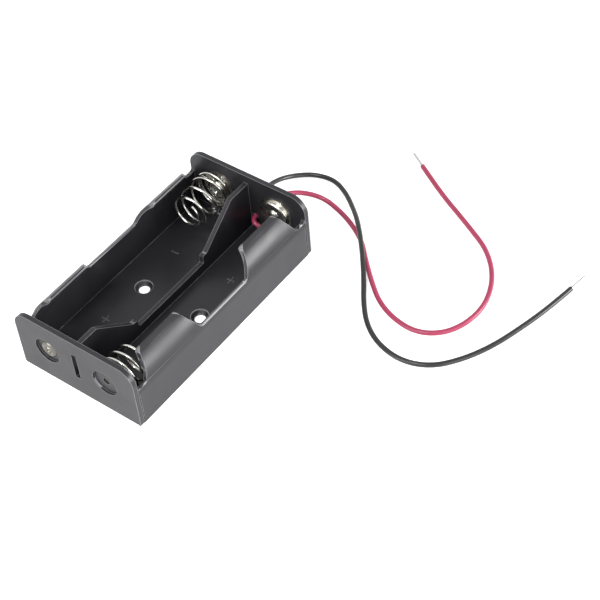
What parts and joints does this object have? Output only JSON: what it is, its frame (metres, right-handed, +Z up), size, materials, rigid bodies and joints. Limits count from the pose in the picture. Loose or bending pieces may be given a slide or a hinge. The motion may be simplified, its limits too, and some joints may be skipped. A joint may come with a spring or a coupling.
{
  "type": "cylindrical cell holder",
  "caption": "Open moulded tray that holds cylindrical cells side by side, with coil-spring and button contacts and flying leads.",
  "frame": {"origin": "middle of the tray's underside", "axes": "+Y along the cells towards the end where the leads leave, +Z up out of the open side, +X across"},
  "size_m": [0.1138, 0.1274, 0.0207],
  "materials": {
    "moulding": "black moulded plastic with a satin skin",
    "contact_plate": "nickel-plated stamped steel",
    "spring_wire": "nickel-plated spring wire",
    "solder": "soft solder",
    "tinned_wire": "tinned copper strands",
    "black_insulation": "soft black insulation",
    "red_insulation": "soft red insulation"
  },
  "bodies": {
    "holder": {"tray": "moulding", "black_solder_tab": "contact_plate", "red_solder_tab": "contact_plate", "far_spring_rivet": "contact_plate", "far_button": "contact_plate", "far_button_rivet": "contact_plate", "near_button": "contact_plate", "near_button_rivet": "contact_plate", "near_bridge": "contact_plate", "black_lead": "black_insulation", "black_tip": "tinned_wire", "black_solder": "solder", "red_lead": "red_insulation", "red_tip": "tinned_wire", "red_solder": "solder"},
    "far_coil": {"far_spring": "spring_wire"},
    "near_coil": {"near_spring": "spring_wire"}
  },
  "joints": [
    {"name": "far_spring_compress", "type": "slide", "parent": "holder", "child": "far_coil", "axis": [0, 1, 0], "range_m": [0, 0.0095], "stiffness_N_per_m": 350, "deforming": ["far_spring"]},
    {"name": "near_spring_compress", "type": "slide", "parent": "holder", "child": "near_coil", "axis": [0, -1, 0], "range_m": [0, 0.005], "stiffness_N_per_m": 350, "deforming": ["near_spring"]}
  ]
}
